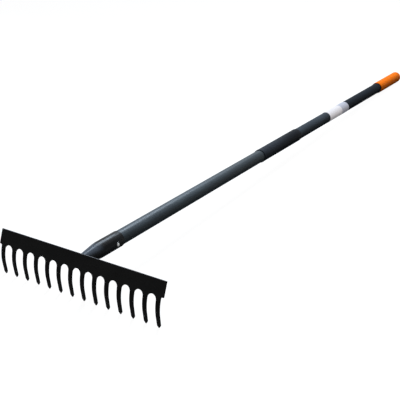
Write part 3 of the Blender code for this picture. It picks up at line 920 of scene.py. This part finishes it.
# %% The tubes
JOINT = 0.7305
GRIP_FROM, GRIP_TO, GRIP_END_WALL = 1.3605, 1.5255, 0.0060
TUBE_PARTS, CUT_ROUNDING = 12, 0.0002


def make_tube(name, node, start, end, material):
    form = bmesh.new()
    rings = [end + (start - end) * i / TUBE_PARTS for i in range(TUBE_PARTS + 1)]
    line = [(TUBE_RADIUS, station) for station in rings]
    turn_line(form, line + [(TUBE_BORE, start), (TUBE_BORE, end)])
    for station in (start, end):
        round_ring(form, TUBE_RADIUS, station, CUT_ROUNDING, segments=2)
    finish_piece(form, name, node, material)


make_tube("near_tube", "lower_tube", SOCKET_TAPER + SOFT_TURN + REST_GAP, JOINT - FIT_GAP,
          LOWER_SLATE)
make_tube("far_tube", "upper_tube", JOINT + FIT_GAP, GRIP_TO - GRIP_END_WALL - REST_GAP,
          UPPER_SLATE)

# %% [markdown]
# The sleeve is one moulding over the joint. It has a thin lip at its near rim and widens a little
# towards the grip, as a mould needs to let it go. A tube with a Solidify modifier would not keep
# its bore straight, so the wall is drawn as part of the line.

# %% The sleeve
SLEEVE_FROM, SLEEVE_TO = 0.6365, 0.8245
SLEEVE_NEAR, SLEEVE_FAR = 0.0152, 0.0155
LIP_HEIGHT, LIP_LENGTH, LIP_FOOT = 0.0003, 0.0040, 0.0004
SLEEVE_PARTS = 10


def make_sleeve():
    form = bmesh.new()
    lip_radius, lip_to = SLEEVE_NEAR + LIP_HEIGHT, SLEEVE_FROM + LIP_LENGTH
    near, far = Vector((SLEEVE_NEAR, lip_to + LIP_FOOT)), Vector((SLEEVE_FAR, SLEEVE_TO))
    body = [tuple(far.lerp(near, i / SLEEVE_PARTS)) for i in range(SLEEVE_PARTS + 1)]
    turn_line(form, body + [(lip_radius, lip_to), (lip_radius, SLEEVE_FROM),
                            (OVER_TUBE, SLEEVE_FROM), (OVER_TUBE, SLEEVE_TO)])
    round_ring(form, SLEEVE_FAR, SLEEVE_TO, width=0.0006)
    round_ring(form, lip_radius, SLEEVE_FROM, width=0.0005)
    round_ring(form, lip_radius, lip_to, width=0.0002, segments=2)
    finish_piece(form, "sleeve", "joint_sleeve", SLEEVE_GREY)


make_sleeve()

# %% [markdown]
# The film is a thin ring. Its end overlaps its start underneath, so a second, short strip is
# spun on top of the ring there, a little shorter. A strip is the spin of one face, not of a line,
# so that its two ends are closed.

# %% The film
FILM_FROM, FILM_TO = 1.0000, 1.1200
FILM_INSIDE, FILM_OUTSIDE = 0.01402, 0.01445
OVERLAP_INSIDE, OVERLAP_OUTSIDE, OVERLAP_SHORT = 0.01444, 0.01450, 0.0002
OVERLAP_FROM, OVERLAP_SWEEP = math.radians(100), math.radians(26)


def make_film():
    form = bmesh.new()
    turn_line(form, [(FILM_OUTSIDE, FILM_TO), (FILM_OUTSIDE, FILM_FROM),
                     (FILM_INSIDE, FILM_FROM), (FILM_INSIDE, FILM_TO)])
    overlap_to = FILM_TO - OVERLAP_SHORT
    strip = [form.verts.new((radius, station, 0)) for radius, station in
             ((OVERLAP_OUTSIDE, overlap_to), (OVERLAP_OUTSIDE, FILM_FROM),
              (OVERLAP_INSIDE, FILM_FROM), (OVERLAP_INSIDE, overlap_to))]
    face = form.faces.new(strip)
    bmesh.ops.rotate(form, verts=strip, cent=(0, 0, 0),
                     matrix=Matrix.Rotation(OVERLAP_FROM, 3, "Y"))
    bmesh.ops.spin(form, geom=[face], cent=(0, 0, 0), axis=(0, 1, 0), dvec=(0, 0, 0),
                   angle=OVERLAP_SWEEP, steps=8, use_duplicate=False)
    finish_piece(form, "film", "tube_wrap", WHITE_FILM)


make_film()

# %% [markdown]
# The grip is pushed over the tube. Its closed end is a quarter of an ellipse round a small flat,
# and its mouth has a soft round lip. It is turned as one open line, from the middle of its end
# round the outside and back inside to the middle of the floor.

# %% The grip
GRIP_RADIUS, GRIP_ROUNDING = 0.0157, 0.0006
END_DEEP, END_LONG = 0.0100, 0.0080
GRIP_PARTS = 8


def make_grip():
    form = bmesh.new()
    straight_to, floor = GRIP_TO - END_LONG, GRIP_TO - GRIP_END_WALL
    arc = [math.radians(degrees) for degrees in range(90, -1, -6)]
    closed_end = [(0, GRIP_TO)]
    closed_end += [(GRIP_RADIUS - END_DEEP + END_DEEP * math.cos(a),
                    straight_to + END_LONG * math.sin(a)) for a in arc]
    straight = [(GRIP_RADIUS, straight_to + (GRIP_FROM - straight_to) * i / GRIP_PARTS)
                for i in range(1, GRIP_PARTS + 1)]
    hollow = [(OVER_TUBE, GRIP_FROM), (OVER_TUBE, floor), (0, floor)]
    turn_line(form, closed_end + straight + hollow, closed=False)
    round_ring(form, GRIP_RADIUS, GRIP_FROM, GRIP_ROUNDING, segments=4)
    finish_piece(form, "grip", "end_grip", GRIP_ORANGE)


make_grip()

# %% [markdown]
# ## The pieces out of sight
# The spigot and its two pins lie under the sleeve. Their measured meshes are right as they are,
# so they only get their metals.

# %% Finish the hidden joint
def refinish(node, material):
    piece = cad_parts[node]
    piece.data.materials.clear()
    piece.data.materials.append(material)
    print(f"{node}: finished in {material.name}")


refinish("joint_spigot", DRAWN_STEEL)
refinish("lower_joint_pin", PIN_STEEL)
refinish("upper_joint_pin", PIN_STEEL)
